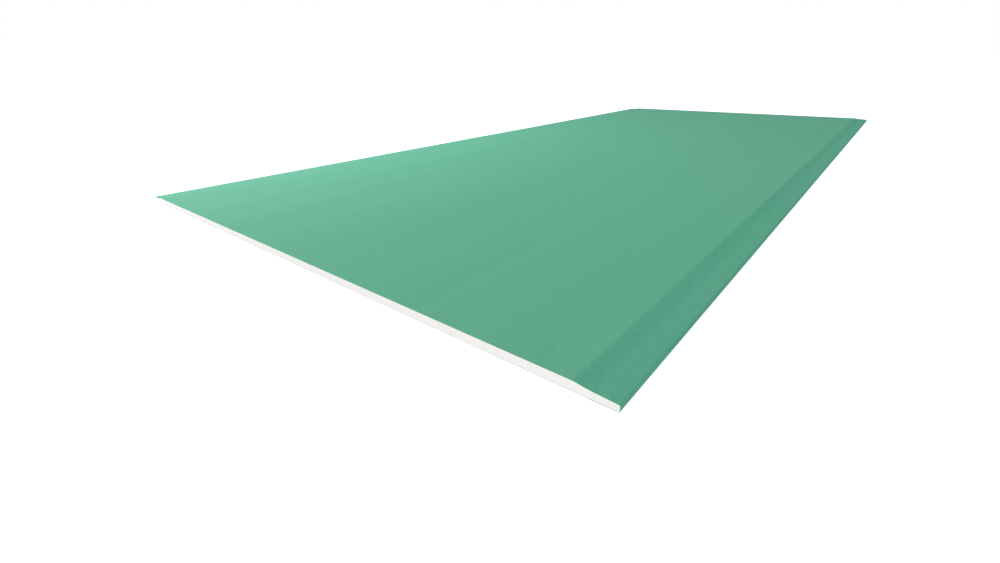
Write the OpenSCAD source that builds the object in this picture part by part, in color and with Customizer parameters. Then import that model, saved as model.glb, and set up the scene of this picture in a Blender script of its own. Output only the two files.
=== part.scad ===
// Plasterboard sheet with tapered long edges: a gypsum core in a green face paper that
// folds round both long edges, closed underneath by a grey back paper.
// It lies face up. X runs along the length, Y across the width, and Z = 0 is the underside.

/* [Sheet] */
// Length between the two cut ends
sheet_length = 2600; // [600:50:3600]
// Width between the two bound edges
sheet_width = 1200; // [300:50:1250]
// Thickness away from the tapers, both papers included
sheet_thickness = 12.5; // [9.5:0.5:25]

/* [Tapered strip] */
// Width of the strip that thins towards each bound edge
taper_width = 52; // [40:1:80]
// Thickness lost at the bound edge
taper_depth = 4; // [0.6:0.1:4.5]
// Width over which the face turns down into the taper
taper_bend = 9; // [4:1:14]
// Width over which the steep start eases into the shallow run to the edge
taper_ease = 20; // [4:1:24]
// Slope of the steep start, as a multiple of the slope of the shallow run
taper_steepness = 3; // [1:0.1:4]

/* [Bound edge] */
// Outside radius of the paper where it folds from the face to the edge
face_fold_radius = 1.5; // [0.8:0.1:2.5]
// Outside radius of the paper where it folds from the edge to the back
back_fold_radius = 1; // [0.8:0.1:2]

/* [Papers] */
// Thickness of the face paper
face_paper_thickness = 0.4; // [0.3:0.05:0.6]
// Thickness of the back paper
back_paper_thickness = 0.4; // [0.3:0.05:0.6]
// Width of the face paper's flap, folded under each bound edge
flap_width = 30; // [20:1:40]
// Width of that flap left uncovered between the back paper and the bound edge
flap_showing = 15; // [4:1:18]

/* [Hidden] */

face_green = "#5FA589";
gypsum_white = "#F3F2EE";
back_grey = "#B5AC9C";

// Straight steps in each curved stretch of the section
curve_steps = 6;

half_width = sheet_width / 2;
flap_end = half_width - flap_width;

// The taper's drop is the area under its slope: rising over the bend, falling over the
// ease, then level along the run. That area has to come to the taper's depth.
run_width = taper_width - taper_bend - taper_ease;
run_slope = taper_depth
    / (taper_steepness * taper_bend / 2 + (taper_steepness + 1) * taper_ease / 2 + run_width);
steep_slope = taper_steepness * run_slope;
run_angle = atan(run_slope);

// The folds are round, tangent to the faces they join
edge_height = sheet_thickness - taper_depth;
face_fold_centre = [
    half_width - face_fold_radius,
    edge_height + face_fold_radius * (run_slope * (1 - sin(run_angle)) - cos(run_angle))
];
back_fold_centre = [half_width - back_fold_radius, back_paper_thickness + back_fold_radius];

function reversed(points) = [for (i = [len(points) - 1 : -1 : 0]) points[i]];
function mirrored(points) = [for (p = points) [-p[0], p[1]]];
function outward(angle) = [sin(angle), cos(angle)];

// Slope and drop of the face, at a distance past the start of the taper
function slope_at(d) =
    d < taper_bend ? steep_slope * d / taper_bend
    : steep_slope + (run_slope - steep_slope) * min(d - taper_bend, taper_ease) / taper_ease;
function drop_at(d) =
    let (
        bent = min(d, taper_bend),
        eased = max(0, min(d - taper_bend, taper_ease))
    )
    steep_slope * bent * bent / (2 * taper_bend)
    + steep_slope * eased + (run_slope - steep_slope) * eased * eased / (2 * taper_ease)
    + run_slope * max(0, d - taper_bend - taper_ease);

// One side of the face paper's surface, or of a surface at an inset below it, in the YZ
// plane: down the taper, round the two folds and in along the flap
function taper_points(inset) = [
    for (d = concat(
        [for (i = [0 : curve_steps]) taper_bend * i / curve_steps],
        [for (i = [1 : curve_steps]) taper_bend + taper_ease * i / curve_steps]
    ))
    [half_width - taper_width + d, sheet_thickness - drop_at(d)]
        - inset * outward(atan(slope_at(d)))
];
function fold_points(centre, radius, from_angle, to_angle) = [
    for (i = [0 : curve_steps])
    centre + radius * outward(from_angle + (to_angle - from_angle) * i / curve_steps)
];
function half_skin(inset) = concat(
    taper_points(inset),
    fold_points(face_fold_centre, face_fold_radius - inset, run_angle, 90),
    fold_points(back_fold_centre, back_fold_radius - inset, 90, 180),
    [[flap_end, back_paper_thickness + inset]]
);

// The same surface from flap to flap, over the face
function skin(inset) = concat(reversed(mirrored(half_skin(inset))), half_skin(inset));

module along_length() {
    rotate([90, 0, 90])
        linear_extrude(height = sheet_length, center = true)
            children();
}

// Cast gypsum: fills the face paper, with its underside stepped up over the two flaps
module gypsum_core() {
    color(gypsum_white)
        along_length()
            polygon(concat(
                skin(face_paper_thickness),
                [[flap_end, back_paper_thickness], [-flap_end, back_paper_thickness]]
            ));
}

// One strip of paper: face, tapers, bound edges and the two flaps under them
module face_paper() {
    color(face_green)
        along_length()
            polygon(concat(skin(0), reversed(skin(face_paper_thickness))));
}

// Flat strip that laps the inner part of each flap
module back_paper() {
    back_width = sheet_width - 2 * flap_showing;
    color(back_grey)
        translate([-sheet_length / 2, -back_width / 2, 0])
            cube([sheet_length, back_width, back_paper_thickness]);
}

gypsum_core();
face_paper();
back_paper();
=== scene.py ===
import math
import random

import bmesh
import bpy
import numpy as np
from mathutils import Euler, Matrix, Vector, noise


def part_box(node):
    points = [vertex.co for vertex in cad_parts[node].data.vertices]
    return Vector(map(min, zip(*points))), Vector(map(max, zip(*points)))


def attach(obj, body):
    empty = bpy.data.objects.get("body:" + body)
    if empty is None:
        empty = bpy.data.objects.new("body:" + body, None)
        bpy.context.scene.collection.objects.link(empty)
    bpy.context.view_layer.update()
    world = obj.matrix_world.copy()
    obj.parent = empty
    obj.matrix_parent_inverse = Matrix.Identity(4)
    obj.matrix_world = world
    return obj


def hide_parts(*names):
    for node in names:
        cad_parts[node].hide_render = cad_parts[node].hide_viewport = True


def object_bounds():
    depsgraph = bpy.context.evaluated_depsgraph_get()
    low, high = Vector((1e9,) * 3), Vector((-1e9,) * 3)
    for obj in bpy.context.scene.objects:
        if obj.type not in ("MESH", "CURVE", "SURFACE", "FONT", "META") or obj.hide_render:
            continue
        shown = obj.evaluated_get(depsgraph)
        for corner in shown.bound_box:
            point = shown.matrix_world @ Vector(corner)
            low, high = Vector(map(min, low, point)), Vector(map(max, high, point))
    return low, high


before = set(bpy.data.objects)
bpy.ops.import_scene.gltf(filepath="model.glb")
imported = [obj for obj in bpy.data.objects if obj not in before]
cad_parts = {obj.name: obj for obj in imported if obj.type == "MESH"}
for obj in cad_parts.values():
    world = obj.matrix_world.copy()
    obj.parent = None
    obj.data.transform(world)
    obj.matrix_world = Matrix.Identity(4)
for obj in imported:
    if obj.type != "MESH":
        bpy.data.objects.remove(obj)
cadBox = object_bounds()
mm = 0.001
print("frame loaded:", sorted(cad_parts))


# sRGB hex to linear, by the curve that sRGB defines
def linearColour(hexCode):
    channels = [int(hexCode[i:i + 2], 16) / 255 for i in (0, 2, 4)]
    return [c / 12.92 if c <= 0.04045 else ((c + 0.055) / 1.055) ** 2.4 for c in channels] + [1.0]


# Adds one node: plain settings go to its properties or its sockets, links join its sockets to outputs
def addNode(tree, kind, settings=None, links=None):
    node = tree.nodes.new(kind)
    for key, value in (settings or {}).items():
        if isinstance(key, str) and hasattr(node, key):
            setattr(node, key, value)
        else:
            node.inputs[key].default_value = value
    for key, output in (links or {}).items():
        tree.links.new(output, node.inputs[key])
    return node


def emptyMaterial(name):
    material = bpy.data.materials.new(name)
    material.use_nodes = True
    material.node_tree.nodes.clear()
    return material, material.node_tree


def dress(piece, material):
    piece.data.materials.clear()
    piece.data.materials.append(material)


# A new piece of the sheet, which takes the place of a CAD node and hides it
def addPiece(name, mesh, nodeName):
    piece = bpy.data.objects.new(name, mesh)
    bpy.context.scene.collection.objects.link(piece)
    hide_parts(nodeName)
    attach(piece, "root")
    return piece


# Pulp as both papers show it, cloudy clumps and fibres drawn out along the length, with its relief
def pulpPattern(tree, coords, spec):
    clumps = addNode(tree, "ShaderNodeTexNoise",
                     {"Scale": 1 / (spec["clumpMm"] * mm), "Detail": spec["clumpDetail"]},
                     {"Vector": coords})
    alongRun = addNode(tree, "ShaderNodeMapping",
                       {"Scale": (spec["fibreMm"] / spec["fibreLengthMm"], 1, 1)},
                       {"Vector": coords})
    fibres = addNode(tree, "ShaderNodeTexNoise",
                     {"Scale": 1 / (spec["fibreMm"] * mm), "Detail": spec["fibreDetail"],
                      "Distortion": spec["fibreWaver"]},
                     {"Vector": alongRun.outputs[0]})
    relief = addNode(tree, "ShaderNodeMath", {"operation": "ADD"},
                     {0: clumps.outputs["Fac"], 1: fibres.outputs["Fac"]})
    bump = addNode(tree, "ShaderNodeBump", {"Distance": spec["reliefMm"] * mm},
                   {"Height": relief.outputs[0]})
    return clumps.outputs["Fac"], fibres.outputs["Fac"], bump.outputs[0]


# Green face paper

facePaper = {
    "paleGreen": "62AC90",
    "deepGreen": "5CA68A",
    "toneRange": (0.35, 0.65),   # cloudiness that gives the deepest and the palest green
    "fleckGreen": "77BA9F",
    "fleckRange": (0.6, 0.8),    # where a pale fibre begins to show, and where it shows fully
    "fleckStrength": 0.5,
    "taperPaintedShade": "ECF9F7",    # painted shade: a deeper green, multiplied in where the face slopes, in the tapers and on the bound edges
    "paintedShadeSlope": 0.08,        # slope that takes the full painted shade, half as steep as a taper's start
    "innerPly": "BCC4B8",        # the dye stays in the top ply, so the cut ends are paler and greyer
    "endFacing": 0.9,            # a face whose normal lies this far along the length is a cut end
    "clumpMm": 7.0,              # flocs of fibre that a paper machine leaves
    "clumpDetail": 3.0,
    "clumpRange": (0.3, 0.7),    # cloudiness with the least and the most roughness
    "streakMm": 40.0,            # width of the faint bands along the machine's run
    "streakLengthMm": 1200.0,
    "streakDetail": 4.0,
    "streakShare": 0.35,         # share of the cloudiness that is bands
    "fibreMm": 0.5,              # fibres are a tenth as thick, so these are drawn coarser than real
    "fibreLengthMm": 4.0,
    "fibreDetail": 2.0,
    "fibreWaver": 0.6,
    "reliefMm": 0.02,
    "roughness": 0.97,
    "roughnessSpread": 0.03,
    "specular": 0.1,
    "ior": 1.5,
    "weldMm": 0.001,             # corners closer than this are joined
    "flatAngle": 0.05,           # degrees; triangles that meet flatter than this become one face
    "sharpAngle": 40.0,          # degrees; gentler bends, in the tapers and the folds, shade as round
}


# The CAD section as one clean skin: corners joined, flat triangles merged, tapers and folds shaded round
def foldedPaper(spec):
    shape = bmesh.new()
    shape.from_mesh(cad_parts["face_paper"].data)
    bmesh.ops.remove_doubles(shape, verts=shape.verts, dist=spec["weldMm"] * mm)
    bmesh.ops.dissolve_limit(shape, angle_limit=math.radians(spec["flatAngle"]),
                             verts=shape.verts, edges=shape.edges)
    mesh = bpy.data.meshes.new("folded_face_paper")
    shape.to_mesh(mesh)
    shape.free()
    mesh.shade_smooth()
    mesh.set_sharp_from_angle(angle=math.radians(spec["sharpAngle"]))
    piece = addPiece("folded_face_paper", mesh, "face_paper")
    flats = piece.modifiers.new("flat_faces_stay_flat", "WEIGHTED_NORMAL")
    flats.keep_sharp = True
    return piece


# Board liner, dyed in its top ply and calendered: a soft even green with cloudy fibre clumps,
# faint bands along the length and pale fibre flecks, and hardly any gloss
def dyedLinerPaper(spec):
    material, tree = emptyMaterial("dyed_liner_paper_calendered")
    coords = addNode(tree, "ShaderNodeTexCoord").outputs["Object"]
    clumps, fibres, bump = pulpPattern(tree, coords, spec)
    alongRun = addNode(tree, "ShaderNodeMapping",
                       {"Scale": (spec["streakMm"] / spec["streakLengthMm"], 1, 1)},
                       {"Vector": coords})
    streaks = addNode(tree, "ShaderNodeTexNoise",
                      {"Scale": 1 / (spec["streakMm"] * mm), "Detail": spec["streakDetail"]},
                      {"Vector": alongRun.outputs[0]})
    cloud = addNode(tree, "ShaderNodeMix", {0: spec["streakShare"]}, {2: clumps, 3: streaks.outputs["Fac"]})
    tone = addNode(tree, "ShaderNodeMapRange",
                   {"From Min": spec["toneRange"][0], "From Max": spec["toneRange"][1]},
                   {"Value": cloud.outputs[0]})
    body = addNode(tree, "ShaderNodeMix",
                   {"data_type": "RGBA", 6: linearColour(spec["deepGreen"]),
                    7: linearColour(spec["paleGreen"])},
                   {0: tone.outputs[0]})
    fleckShare = addNode(tree, "ShaderNodeMapRange",
                         {"From Min": spec["fleckRange"][0], "From Max": spec["fleckRange"][1],
                          "To Max": spec["fleckStrength"]},
                         {"Value": fibres})
    flecked = addNode(tree, "ShaderNodeMix", {"data_type": "RGBA", 7: linearColour(spec["fleckGreen"])},
                      {0: fleckShare.outputs[0], 6: body.outputs[2]})
    # the tapers and bound edges slope across the width, so the normal's Y tells them from the flat face and
    # sets how much painted shade they get
    facing = addNode(tree, "ShaderNodeNewGeometry")
    bend = addNode(tree, "ShaderNodeSeparateXYZ", {}, {0: facing.outputs["Normal"]})
    slope = addNode(tree, "ShaderNodeMath", {"operation": "ABSOLUTE"}, {0: bend.outputs["Y"]})
    paintedShadeShare = addNode(tree, "ShaderNodeMapRange", {"From Max": spec["paintedShadeSlope"]},
                      {"Value": slope.outputs[0]})
    # painted shade: the sloping faces are multiplied by a deeper green, the more the steeper they slope
    shaded = addNode(tree, "ShaderNodeMix",
                     {"data_type": "RGBA", "blend_type": "MULTIPLY", 7: linearColour(spec["taperPaintedShade"])},
                     {0: paintedShadeShare.outputs[0], 6: flecked.outputs[2]})
    axes = addNode(tree, "ShaderNodeSeparateXYZ", {}, {0: facing.outputs["True Normal"]})
    lengthwise = addNode(tree, "ShaderNodeMath", {"operation": "ABSOLUTE"}, {0: axes.outputs["X"]})
    cutEdge = addNode(tree, "ShaderNodeMath", {"operation": "GREATER_THAN", 1: spec["endFacing"]},
                      {0: lengthwise.outputs[0]})
    colour = addNode(tree, "ShaderNodeMix", {"data_type": "RGBA", 7: linearColour(spec["innerPly"])},
                     {0: cutEdge.outputs[0], 6: shaded.outputs[2]})
    gloss = addNode(tree, "ShaderNodeMapRange",
                    {"From Min": spec["clumpRange"][0], "From Max": spec["clumpRange"][1],
                     "To Min": spec["roughness"] - spec["roughnessSpread"],
                     "To Max": spec["roughness"] + spec["roughnessSpread"]},
                    {"Value": clumps})
    paper = addNode(tree, "ShaderNodeBsdfPrincipled",
                    {"IOR": spec["ior"], "Specular IOR Level": spec["specular"]},
                    {"Base Color": colour.outputs[2], "Roughness": gloss.outputs[0], "Normal": bump})
    addNode(tree, "ShaderNodeOutputMaterial", {}, {"Surface": paper.outputs[0]})
    return material


dress(foldedPaper(facePaper), dyedLinerPaper(facePaper))
print("face paper folded")


# Gypsum core

gypsumCore = {
    "white": "F7F7F5",
    # painted shade, coloured into the pores
    "shade": "E3E2DE",
    "grainMm": 0.7,
    "grainDetail": 4.0,
    "poreMm": 1.3,             # spacing of the pores; the widest are modelled as pits
    "poreShare": 0.22,         # radius of a pore, as a share of the spacing
    "poreFloor": 0.3,          # radius of its floor, as a share of the pore's
    "poreRelief": 2.0,         # depth of a pore, as a multiple of the grain's relief
    "rimRagged": 0.3,          # range over which the grain shifts a pore's rim, as a share of the spacing
    "reliefMm": 0.03,
    "roughness": 0.95,
    "specular": 0.3,
    "ior": 1.52,
    "columnMm": 0.6,           # spacing of the points across a sawn end
    "rowCount": 19,            # points down it
    "cornerDigits": 6,         # decimals of a metre that tell two corners of the section apart
    "stepMm": 0.01,            # width left to the step in the sole, which is upright in the CAD section
    "paperProudMm": 0.05,      # how far the papers stand past the core
    "sawGrainMm": 1.0,
    "sawGrainShift": 7,        # offset in the noise that gives the two ends a grain of their own
    "grainDepthMm": 0.03,
    "pitsPerEnd": 600,         # air bubbles that the saw cut open
    "pitRadiusMm": (0.4, 0.9),
    "pitDepth": 0.4,           # as a share of the pit's radius
    "denseSkinMm": 1.0,        # under each paper the plaster sets without bubbles
    "sharpAngle": 50.0,        # degrees; keeps the arrises of the sawn ends crisp
    "seed": 12,
}


# The core's two sawn ends as fine grids of points, pitted and grained, with the CAD section between them
def sawnCore(spec):
    random.seed(spec["seed"])
    low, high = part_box("gypsum_core")
    middle = (low.z + high.z) / 2
    digits = spec["cornerDigits"]
    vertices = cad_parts["gypsum_core"].data.vertices
    corners = {(round(v.co.y, digits), round(v.co.z, digits)) for v in vertices}
    half = sorted(corner for corner in corners if corner[0] > 0)
    roof = [corner for corner in half if corner[1] > middle]
    sole = [corner for corner in half if corner[1] < middle]
    # the sole steps up over the flap of the face paper, so its inner corner has a column of its own
    bends = sorted({y for y, z in half} | {sole[0][0] - spec["stepMm"] * mm})
    bends = [-y for y in reversed(bends)] + bends
    across = [bends[0]]
    for start, stop in zip(bends, bends[1:]):
        steps = max(1, round((stop - start) / (spec["columnMm"] * mm)))
        across.extend(np.linspace(start, stop, steps + 1)[1:])
    across = np.array(across)
    topEdge = np.interp(abs(across), [y for y, z in roof], [z for y, z in roof])
    bottomEdge = np.interp(abs(across), [y for y, z in sole], [z for y, z in sole])
    columns, rows = len(across), spec["rowCount"]
    heights = bottomEdge + np.outer(np.linspace(0, 1, rows), topEdge - bottomEdge)

    points = []
    grain = spec["sawGrainMm"] * mm
    for endX, inward in ((low.x, 1), (high.x, -1)):
        shift = inward * spec["sawGrainShift"]
        rough = np.array([[noise.noise((y / grain, z / grain, shift)) for y, z in zip(across, row)]
                          for row in heights])
        depth = (spec["paperProudMm"] + spec["grainDepthMm"] * (1 + rough) / 2) * mm
        for pit in range(spec["pitsPerEnd"]):
            radius = random.uniform(*spec["pitRadiusMm"]) * mm
            margin = radius + spec["denseSkinMm"] * mm
            y = random.uniform(across[0] + margin, across[-1] - margin)
            column = np.searchsorted(across, y)
            z = random.uniform(bottomEdge[column] + margin, topEdge[column] - margin)
            near = slice(*np.searchsorted(across, (y - radius, y + radius)))
            inside = 1 - ((across[near] - y) ** 2 + (heights[:, near] - z) ** 2) / radius ** 2
            depth[:, near] += spec["pitDepth"] * radius * np.sqrt(inside.clip(0))
        points.extend(zip((endX + inward * depth).ravel(), np.tile(across, rows), heights.ravel()))

    # the two ends, then the sole and the roof, then the two long sides
    far = columns * rows
    faces = []
    for row in range(rows - 1):
        for column in range(columns - 1):
            spot = row * columns + column
            faces.append((spot, spot + columns, spot + columns + 1, spot + 1))
            faces.append((far + spot, far + spot + 1, far + spot + columns + 1, far + spot + columns))
    for column in range(columns - 1):
        bottom, top = column, (rows - 1) * columns + column
        faces.append((bottom, bottom + 1, far + bottom + 1, far + bottom))
        faces.append((top, far + top, far + top + 1, top + 1))
    for row in range(rows - 1):
        first, last = row * columns, row * columns + columns - 1
        faces.append((first, far + first, far + first + columns, first + columns))
        faces.append((last, last + columns, far + last + columns, far + last))
    mesh = bpy.data.meshes.new("sawn_gypsum_core")
    mesh.from_pydata(points, [], faces)
    mesh.shade_smooth()
    mesh.set_sharp_from_angle(angle=math.radians(spec["sharpAngle"]))
    return addPiece("sawn_gypsum_core", mesh, "gypsum_core")


# Foamed plaster set between the papers and sawn across: chalk white, dead matt, with fine grain and pin
# pores, painted a shade darker inside
def sawnGypsum(spec):
    material, tree = emptyMaterial("foamed_gypsum_sawn")
    coords = addNode(tree, "ShaderNodeTexCoord").outputs["Object"]
    grain = addNode(tree, "ShaderNodeTexNoise",
                    {"Scale": 1 / (spec["grainMm"] * mm), "Detail": spec["grainDetail"]},
                    {"Vector": coords})
    cells = addNode(tree, "ShaderNodeTexVoronoi", {"Scale": 1 / (spec["poreMm"] * mm)}, {"Vector": coords})
    # from 0 in the middle of a pore to 1 on the plaster round it, with ragged rims; this also sets the pores'
    # painted shade
    ragged = addNode(tree, "ShaderNodeMath",
                     {"operation": "MULTIPLY_ADD", 1: spec["rimRagged"], 2: -spec["rimRagged"] / 2},
                     {0: grain.outputs["Fac"]})
    reach = addNode(tree, "ShaderNodeMath", {"operation": "ADD"},
                    {0: cells.outputs["Distance"], 1: ragged.outputs[0]})
    solid = addNode(tree, "ShaderNodeMapRange",
                    {"From Min": spec["poreFloor"] * spec["poreShare"], "From Max": spec["poreShare"]},
                    {"Value": reach.outputs[0]})
    # painted shade: the pores are coloured darker towards their middle
    colour = addNode(tree, "ShaderNodeMix",
                     {"data_type": "RGBA", 6: linearColour(spec["shade"]), 7: linearColour(spec["white"])},
                     {0: solid.outputs[0]})
    relief = addNode(tree, "ShaderNodeMath", {"operation": "MULTIPLY_ADD", 1: spec["poreRelief"]},
                     {0: solid.outputs[0], 2: grain.outputs["Fac"]})
    bump = addNode(tree, "ShaderNodeBump", {"Distance": spec["reliefMm"] * mm},
                   {"Height": relief.outputs[0]})
    plaster = addNode(tree, "ShaderNodeBsdfPrincipled",
                      {"Roughness": spec["roughness"], "IOR": spec["ior"],
                       "Specular IOR Level": spec["specular"]},
                      {"Base Color": colour.outputs[2], "Normal": bump.outputs[0]})
    addNode(tree, "ShaderNodeOutputMaterial", {}, {"Surface": plaster.outputs[0]})
    return material


dress(sawnCore(gypsumCore), sawnGypsum(gypsumCore))
print("gypsum core sawn")


# Grey back paper

backPaper = {
    "pale": "BEB8AC",
    "deep": "AAA396",
    "clumpMm": 9.0,
    "clumpDetail": 5.0,
    "clumpRange": (0.3, 0.7),      # cloudiness that gives the deepest and the palest grey
    "fibrePale": "D2CCC1",
    "fibreMm": 0.5,                # drawn coarser than real, as on the face
    "fibreLengthMm": 4.0,
    "fibreDetail": 2.0,
    "fibreWaver": 0.6,
    "fibreRange": (0.58, 0.75),    # where a pale fibre begins to show, and where it shows fully
    "speck": "6B655B",
    "speckMm": 6.0,                # spacing of the dark specks that old newsprint leaves
    "speckShare": 0.07,            # radius of a speck, as a share of the spacing
    "speckCore": 0.6,              # radius of its dark middle, as a share of the speck's
    "reliefMm": 0.03,
    "roughness": 0.95,
    "specular": 0.2,
    "ior": 1.5,
}


# Liner of recycled pulp, undyed and unglazed: warm grey, cloudy, with pale fibres and scattered dark specks
def recycledLinerPaper(spec):
    material, tree = emptyMaterial("recycled_liner_paper_unglazed")
    coords = addNode(tree, "ShaderNodeTexCoord").outputs["Object"]
    clumps, fibres, bump = pulpPattern(tree, coords, spec)
    specks = addNode(tree, "ShaderNodeTexVoronoi", {"Scale": 1 / (spec["speckMm"] * mm)}, {"Vector": coords})
    tone = addNode(tree, "ShaderNodeMapRange",
                   {"From Min": spec["clumpRange"][0], "From Max": spec["clumpRange"][1]},
                   {"Value": clumps})
    body = addNode(tree, "ShaderNodeMix",
                   {"data_type": "RGBA", 6: linearColour(spec["deep"]), 7: linearColour(spec["pale"])},
                   {0: tone.outputs[0]})
    fibreShare = addNode(tree, "ShaderNodeMapRange",
                         {"From Min": spec["fibreRange"][0], "From Max": spec["fibreRange"][1]},
                         {"Value": fibres})
    fibrous = addNode(tree, "ShaderNodeMix", {"data_type": "RGBA", 7: linearColour(spec["fibrePale"])},
                      {0: fibreShare.outputs[0], 6: body.outputs[2]})
    speckEdge = addNode(tree, "ShaderNodeMapRange",
                        {"From Min": spec["speckShare"], "From Max": spec["speckCore"] * spec["speckShare"]},
                        {"Value": specks.outputs["Distance"]})
    colour = addNode(tree, "ShaderNodeMix", {"data_type": "RGBA", 7: linearColour(spec["speck"])},
                     {0: speckEdge.outputs[0], 6: fibrous.outputs[2]})
    paper = addNode(tree, "ShaderNodeBsdfPrincipled",
                    {"Roughness": spec["roughness"], "IOR": spec["ior"],
                     "Specular IOR Level": spec["specular"]},
                    {"Base Color": colour.outputs[2], "Normal": bump})
    addNode(tree, "ShaderNodeOutputMaterial", {}, {"Surface": paper.outputs[0]})
    return material


dress(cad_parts["back_paper"], recycledLinerPaper(backPaper))
print("back paper dressed")


# Studio

studio = {
    "surround": "FFFFFF",
    "surroundSeen": 1.0,      # strength to the eye, where 1 is white
    "surroundLevel": 0.665,   # strength as light on the sheet
    "floorWhite": "F2F2F2",
    "floorGlow": 0.6,         # brings the floor that the eye sees up to white
    "floorRoughness": 1.0,
    "floorSpecular": 0.0,     # no gloss, so nothing mirrors the sheet
    "floorSize": 60.0,        # metres
    "floorDropMm": 0.05,      # keeps the floor clear of the sheet's underside
    # azimuth runs from +X towards +Y; the level is what a face square to the lamp gets
    "lamps": {
        "key_softbox": {
            "azimuth": 112.0,
            "elevation": 22.0,
            "distance": 3.0,
            "size": (1.6, 1.0),
            "level": 0.96,
        },
        "fill_softbox": {
            "azimuth": 215.0,
            "elevation": 6.0,
            "distance": 3.5,
            "size": (2.0, 0.6),
            "level": 0.11,
        },
    },
}


# 1 for what the eye sees, straight or by a reflection or through glass, and 0 for light on the sheet
def seenRays(tree):
    path = addNode(tree, "ShaderNodeLightPath")
    straightOrGlossy = addNode(tree, "ShaderNodeMath", {"operation": "MAXIMUM"},
                               {0: path.outputs["Is Camera Ray"], 1: path.outputs["Is Glossy Ray"]})
    seen = addNode(tree, "ShaderNodeMath", {"operation": "MAXIMUM"},
                   {0: straightOrGlossy.outputs[0], 1: path.outputs["Is Transmission Ray"]})
    return seen.outputs[0]


def makeWorld(spec):
    world = bpy.data.worlds.new("white_studio")
    bpy.context.scene.world = world
    world.use_nodes = True
    tree = world.node_tree
    tree.nodes.clear()
    level = addNode(tree, "ShaderNodeMapRange",
                    {"To Min": spec["surroundLevel"], "To Max": spec["surroundSeen"]},
                    {"Value": seenRays(tree)})
    white = addNode(tree, "ShaderNodeBackground", {"Color": linearColour(spec["surround"])},
                    {"Strength": level.outputs[0]})
    addNode(tree, "ShaderNodeOutputWorld", {}, {"Surface": white.outputs[0]})


def makeFloor(spec):
    mesh = bpy.data.meshes.new("floor")
    half = spec["floorSize"] / 2
    corners = [(-half, -half, 0), (half, -half, 0), (half, half, 0), (-half, half, 0)]
    mesh.from_pydata(corners, [], [(0, 1, 2, 3)])
    floor = bpy.data.objects.new("floor", mesh)
    bpy.context.scene.collection.objects.link(floor)
    floor.location.z = cadBox[0].z - spec["floorDropMm"] * mm
    material, tree = emptyMaterial("matt_white_floor")
    glow = addNode(tree, "ShaderNodeMapRange", {"To Max": spec["floorGlow"]}, {"Value": seenRays(tree)})
    paint = addNode(tree, "ShaderNodeBsdfPrincipled",
                    {"Base Color": linearColour(spec["floorWhite"]), "Roughness": spec["floorRoughness"],
                     "Specular IOR Level": spec["floorSpecular"],
                     "Emission Color": linearColour(spec["surround"])},
                    {"Emission Strength": glow.outputs[0]})
    addNode(tree, "ShaderNodeOutputMaterial", {}, {"Surface": paint.outputs[0]})
    dress(floor, material)


# Unit vector at an azimuth and an elevation, in degrees
def direction(azimuth, elevation):
    turn, rise = math.radians(azimuth), math.radians(elevation)
    return Vector((math.cos(turn) * math.cos(rise), math.sin(turn) * math.cos(rise), math.sin(rise)))


def makeSoftbox(name, spec):
    lamp = bpy.data.lights.new(name, "AREA")
    lamp.shape = "RECTANGLE"
    lamp.size, lamp.size_y = spec["size"]
    # an area lamp of P watts gives P / (pi * d^2) on its axis; a level of 1 is pi watts a square metre
    lamp.energy = spec["level"] * math.pi ** 2 * spec["distance"] ** 2
    softbox = bpy.data.objects.new(name, lamp)
    bpy.context.scene.collection.objects.link(softbox)
    towards = direction(spec["azimuth"], spec["elevation"])
    softbox.location = towards * spec["distance"]
    softbox.rotation_euler = (-towards).to_track_quat("-Z", "Y").to_euler()


makeWorld(studio)
makeFloor(studio)
for lampName, lampSpec in studio["lamps"].items():
    makeSoftbox(lampName, lampSpec)
bpy.context.scene.view_settings.view_transform = "Standard"
print("studio lit")


# Camera, from the photograph's vanishing lines

viewpoint = {
    "place": (-1.615, -0.726, 0.284),  # metres
    "heading": 39.72,          # degrees from +X towards +Y
    "tilt": -25.26,            # degrees up
    "roll": 1.0,               # degrees; the right-hand side dips
    "focalPixels": 464.4,
    "imageWidth": 1000,
    "sensorMm": 36.0,
    "clipRange": (0.01, 200),  # metres
}


def makeCamera(spec):
    lens = bpy.data.cameras.new("camera")
    lens.sensor_width = spec["sensorMm"]
    lens.lens = spec["focalPixels"] / spec["imageWidth"] * spec["sensorMm"]
    lens.clip_start, lens.clip_end = spec["clipRange"]
    camera = bpy.data.objects.new("camera", lens)
    bpy.context.scene.collection.objects.link(camera)
    camera.location = spec["place"]
    level = direction(spec["heading"], spec["tilt"]).to_track_quat("-Z", "Y").to_matrix()
    roll = Euler((0, 0, math.radians(-spec["roll"]))).to_matrix()
    camera.rotation_euler = (level @ roll).to_euler()
    bpy.context.scene.camera = camera


makeCamera(viewpoint)
print("camera placed")
